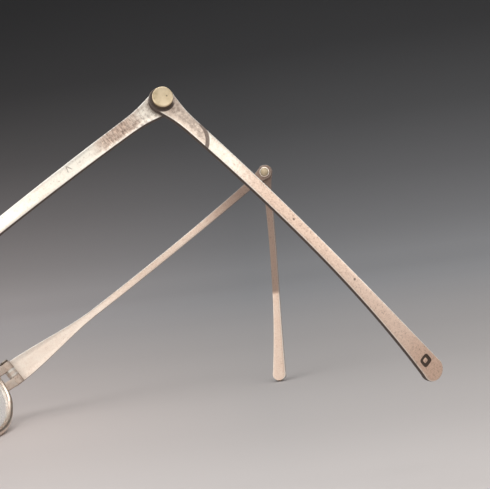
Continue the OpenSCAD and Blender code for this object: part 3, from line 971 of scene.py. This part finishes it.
# Sweeps a round section with a V groove along whatever path it is given
def wireTree():
    tree, size = newTree("groovedWire", Geometry=("Path",),
                         Float=("Wire Radius", "Groove Depth", "Groove Mouth"), Material=("Metal",))
    radius, mouth = size("Wire Radius"), size("Groove Mouth") * 0.5
    ring = add(tree, "GeometryNodeCurvePrimitiveCircle", Resolution=eyewire["sections"],
               Radius=radius)
    where = out(tree, add(tree, "GeometryNodeInputPosition"))
    split = add(tree, "ShaderNodeSeparateXYZ", Vector=where)
    x, y = out(tree, split, 0), out(tree, split, 1)
    apex = size("Groove Depth") - radius
    lipX = -(radius * radius - mouth * mouth).root()
    wall = apex + (lipX - apex) * abs(y) / mouth
    inner = x < 0
    shaped = add(tree, "ShaderNodeCombineXYZ", X=x.most(wall) * inner + x * (1 - inner), Y=y)
    section = add(tree, "GeometryNodeSetPosition", Geometry=out(tree, ring),
                  Position=out(tree, shaped))
    level = add(tree, "GeometryNodeSetCurveNormal", {"mode": "Z_UP"}, Curve=size("Path"))
    swept = add(tree, "GeometryNodeCurveToMesh", Curve=out(tree, level),
                Profile_Curve=out(tree, section), Fill_Caps=True)
    endTree(tree, swept, size("Metal"))
    return tree


def eyeWire(name):
    reach = eyewire["endRadius"] - eyewire["wire"]
    cut = math.asin(-eyewire["rise"] / reach)
    half = math.asin(eyewire["split"] / 2 / reach)
    points = ovalPoints(-eyewire["wire"], cut + half, cut - half, eyewire["steps"])
    path = bpy.data.curves.new("path", "CURVE")
    path.dimensions = "3D"
    spline = path.splines.new("POLY")
    spline.points.add(len(points) - 1)
    for point, (x, y) in zip(spline.points, points):
        point.co = (x, y, 0, 1)
    mesh = grown(wire, {"Wire Radius": eyewire["wire"], "Groove Depth": eyewire["groove"],
                        "Groove Mouth": eyewire["mouth"], "Metal": metals["front"]}, path)
    paintAll(mesh, metals["front"])
    finish(mesh, eyePlace(name), name + "Eyewire", "front", [name + "_rim"])


# Two domed faces, each of shrinking ovals, that meet in a bevelled edge
def lens(name):
    seat = eyewire["groove"] - 2 * eyewire["wire"] - lensShape["gap"]
    bevel, dome = lensShape["edge"] / 2, lensShape["dome"]
    rim = ovalPoints(seat, 0, 0, lensShape["steps"])[:-1]
    face = ovalPoints(seat - bevel, 0, 0, lensShape["steps"])[:-1]
    work = bmesh.new()
    edge = [work.verts.new((x, y, 0)) for x, y in rim]
    for way in (1, -1):
        rows = [edge]
        for part in lensShape["rings"]:
            height = way * (bevel + dome * (1 - part * part))
            rows.append([work.verts.new((x * part, y * part, height)) for x, y in face])
        rows.append([work.verts.new((0, 0, way * (bevel + dome)))])
        for one, two in zip(rows, rows[1:]):
            joinRows(work, one, two)
    mesh = meshFrom(work, "lens")
    paintAll(mesh, metals["lens"])
    finish(mesh, eyePlace(name), name + "Lens", "front", [name + "_lens"],
           lensShape["smoothAngle"])


softEdges = {
    "block": 0.12,
    "bridge": 0.2,
    "segments": 3,
    "sharp": 40,  # least angle that is rounded, in degrees
    "flat": 0.5,  # angle between facets that are joined first
    "merge": 2e-6,  # in metres
}


# A copy of a solid with its edges rounded
def softened(node, name, width, material):
    mesh = frame["nodes"][node].data.copy()
    work = bmesh.new()
    work.from_mesh(mesh)
    bmesh.ops.remove_doubles(work, verts=work.verts, dist=softEdges["merge"])
    bmesh.ops.dissolve_limit(work, angle_limit=math.radians(softEdges["flat"]),
                             verts=work.verts, edges=work.edges)
    work.to_mesh(mesh)
    work.free()
    holder = linked("holder", mesh)
    edge = holder.modifiers.new("edge", "BEVEL")
    edge.width = width * mm
    edge.segments = softEdges["segments"]
    edge.limit_method = "ANGLE"
    edge.angle_limit = math.radians(softEdges["sharp"])
    result = evaluated(holder)
    paintAll(result, material)
    finish(result, Matrix.Identity(4), name, "front", [node])


wire = wireTree()
for name in sides:
    eyeWire(name)
    lens(name)
    for level in ("upper", "lower"):
        softened(f"{name}_{level}_block", name + level.capitalize() + "Block",
                 softEdges["block"], metals["block"])
softened("bridge", "archedBridge", softEdges["bridge"], metals["front"])
print("front made")


# The sweep is a floor that curves up into a wall; the room is in metres
room = {
    # place on the sweep, from the near floor up, and how pale it is; the tones are a painted
    # falloff of light, pale on the near floor and dark up the wall
    "tones": ((0, 0.3), (0.26, 0.62), (0.357, 0.59), (0.373, 0.463), (0.4, 0.368), (0.425, 0.328),
              (0.47, 0.298), (0.52, 0.286), (0.6, 0.292), (0.64, 0.278), (0.69, 0.214),
              (0.76, 0.144), (0.835, 0.087), (0.917, 0.05), (1, 0.0365)),
    "start": 1.2,  # where those places begin, and the length that they cover
    "reach": 3.2,
    "warm": (1, 0.935, 0.905),  # tint of the near floor
    "cool": (1, 0.995, 1.02),  # tint further up
    "coolFrom": (0.36, 0.55),
    "floorTo": 2.5,
    "wallAt": -1.6,
    "wallTop": 2.6,
    "halfWidth": 3.0,
    "sweep": 0.9,
    "steps": 48,
    # the lift is painted light, a brighter pool on the sweep's left
    "lift": (0.4, 0.31, 0.27),  # how much brighter the sweep is on its left
    "seenFrom": (0.19, 0.05),  # what lies left is told by its direction from here
    "nearest": 0.05,
    "left": (-0.14, 0.21, 1.2),  # where the lift starts, the width it grows over, its most
    "liftLow": 0.55,  # its share lower down
    "liftRise": (0.436, 0.5875),
    "lifted": (0.35, 0.385, 0.725, 1.034),
    "roughness": 0.9,
    "shine": 0.1,
    "worldTint": (0.86, 0.87, 0.9, 1),
    "worldStrength": 0.3,
}
middle = (0.0, 0.0, 0.03)
softboxes = {
    "keyBox": {"at": (0.75, -0.75, 0.9), "to": middle, "size": (1.3, 1.3), "power": 7,
               "tint": (1, 1, 1)},
    "topBox": {"at": (-0.1, 0.1, 1.3), "to": (-0.1, 0.1, 0), "size": (1.4, 1.4), "power": 13,
               "tint": (1, 1, 1)},
    "fillBox": {"at": (0.76, 0.95, 0.4), "to": middle, "size": (2.0, 0.8), "power": 6.6,
                "tint": (1, 0.97, 0.94)},
    "cameraSideBox": {"at": (0.95, -0.35, 0.22), "to": middle, "size": (1.0, 0.5), "power": 3.0,
                      "tint": (1, 0.98, 0.94)},
}


def backdropPaper():
    material, tree = newMaterial("backdropPaper")
    place = out(tree, add(tree, "ShaderNodeTexCoord"), "Object")
    split = add(tree, "ShaderNodeSeparateXYZ", Vector=place)
    x, y, z = (out(tree, split, k) for k in range(3))
    way = (room["start"] - x + z) / room["reach"]
    # painted falloff of light: the tone darkens up the sweep
    tone = out(tree, add(tree, "ShaderNodeValToRGB", {"stops": room["tones"]}, i0=way))
    tint = blend(tree, way.ease(*room["coolFrom"]), room["warm"], room["cool"])
    across = (y - room["seenFrom"][1]) / (room["seenFrom"][0] - x).most(room["nearest"])
    start, over, most = room["left"]
    # painted light: the sweep's left is lifted brighter
    left = ((start - across) / over).most(0).least(most) * way.band(*room["lifted"])
    left = left * (way.ease(*room["liftRise"]) * (1 - room["liftLow"]) + room["liftLow"])
    lift = vectorMath(tree, "ADD", scaled(tree, room["lift"], left), (1, 1, 1))
    colour = vectorMath(tree, "MULTIPLY", vectorMath(tree, "MULTIPLY", tone, tint), lift)
    surface(tree, Base_Color=colour, Roughness=room["roughness"],
            Specular_IOR_Level=room["shine"])
    return material


def backdrop():
    wall, sweep = room["wallAt"], room["sweep"]
    profile = [(room["floorTo"], 0.0)]
    for k in range(room["steps"] + 1):
        a = math.pi / 2 * k / room["steps"]
        profile.append((wall + sweep * (1 - math.sin(a)), sweep * (1 - math.cos(a))))
    profile.append((wall, room["wallTop"]))
    verts = [(x, y, z) for x, z in profile for y in (-room["halfWidth"], room["halfWidth"])]
    faces = [(2 * k, 2 * k + 1, 2 * k + 3, 2 * k + 2) for k in range(len(profile) - 1)]
    mesh = bpy.data.meshes.new("backdrop")
    mesh.from_pydata(verts, [], faces)
    for face in mesh.polygons:
        face.use_smooth = True
    mesh.materials.append(backdropPaper())
    linked("backdrop", mesh)


def softbox(name, at, to, size, power, tint):
    light = bpy.data.lights.new(name, "AREA")
    light.shape = "RECTANGLE"
    light.size, light.size_y = size
    light.energy = power
    light.color = tint
    aim = (Vector(to) - Vector(at)).to_track_quat("-Z", "Y").to_matrix().to_4x4()
    linked(name, light).matrix_world = Matrix.Translation(at) @ aim


backdrop()
for name, values in softboxes.items():
    softbox(name, **values)
world = bpy.data.worlds.new("room")
world.use_nodes = True
sky = world.node_tree.nodes["Background"]
sky.inputs["Color"].default_value = room["worldTint"]
sky.inputs["Strength"].default_value = room["worldStrength"]
bpy.context.scene.world = world
print("room made")


# The camera is at the height of the elbows and turned a little; its turn is in degrees
view = {
    "at": (0.18687, 0.04916, 0.03397),
    "turn": (90.15, 7.7614, 98.0885),
    "lens": 73.981,
    "sensor": 36,
    "nearest": 0.005,
}
camera = bpy.data.cameras.new("camera")
camera.lens = view["lens"]
camera.sensor_width = view["sensor"]
camera.clip_start = view["nearest"]
eye = linked("camera", camera)
eye.location = view["at"]
eye.rotation_euler = [math.radians(a) for a in view["turn"]]
bpy.context.scene.camera = eye
bpy.context.scene.view_settings.view_transform = "Standard"
print("camera set")
